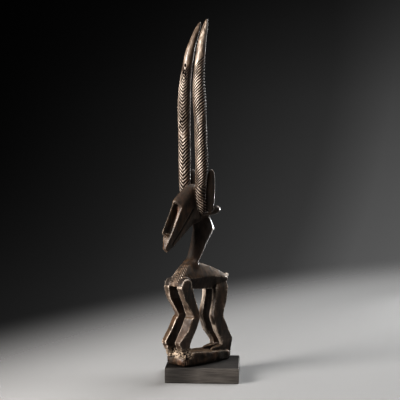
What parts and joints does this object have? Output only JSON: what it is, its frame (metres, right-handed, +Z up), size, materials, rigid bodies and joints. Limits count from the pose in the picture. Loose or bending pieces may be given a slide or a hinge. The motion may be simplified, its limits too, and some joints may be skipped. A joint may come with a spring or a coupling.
{
  "type": "chiwara headdress",
  "caption": "Carved wooden antelope headdress with tall ringed horns, upright ears and bent legs on an oblong carved base, standing on a rectangular wooden plinth.",
  "frame": {"origin": "middle of the plinth's underside", "axes": "+Z up, +X to the viewer's right along the plinth's long side, -Y towards the viewer; the antelope looks towards -X and -Y"},
  "size_m": [0.1559, 0.1529, 0.7473],
  "materials": {
    "dark_wood": "semi-gloss worn patina",
    "stained_wood": "satin"
  },
  "bodies": {
    "root": {"plinth": "stained_wood", "headdress": "dark_wood"}
  },
  "joints": []
}
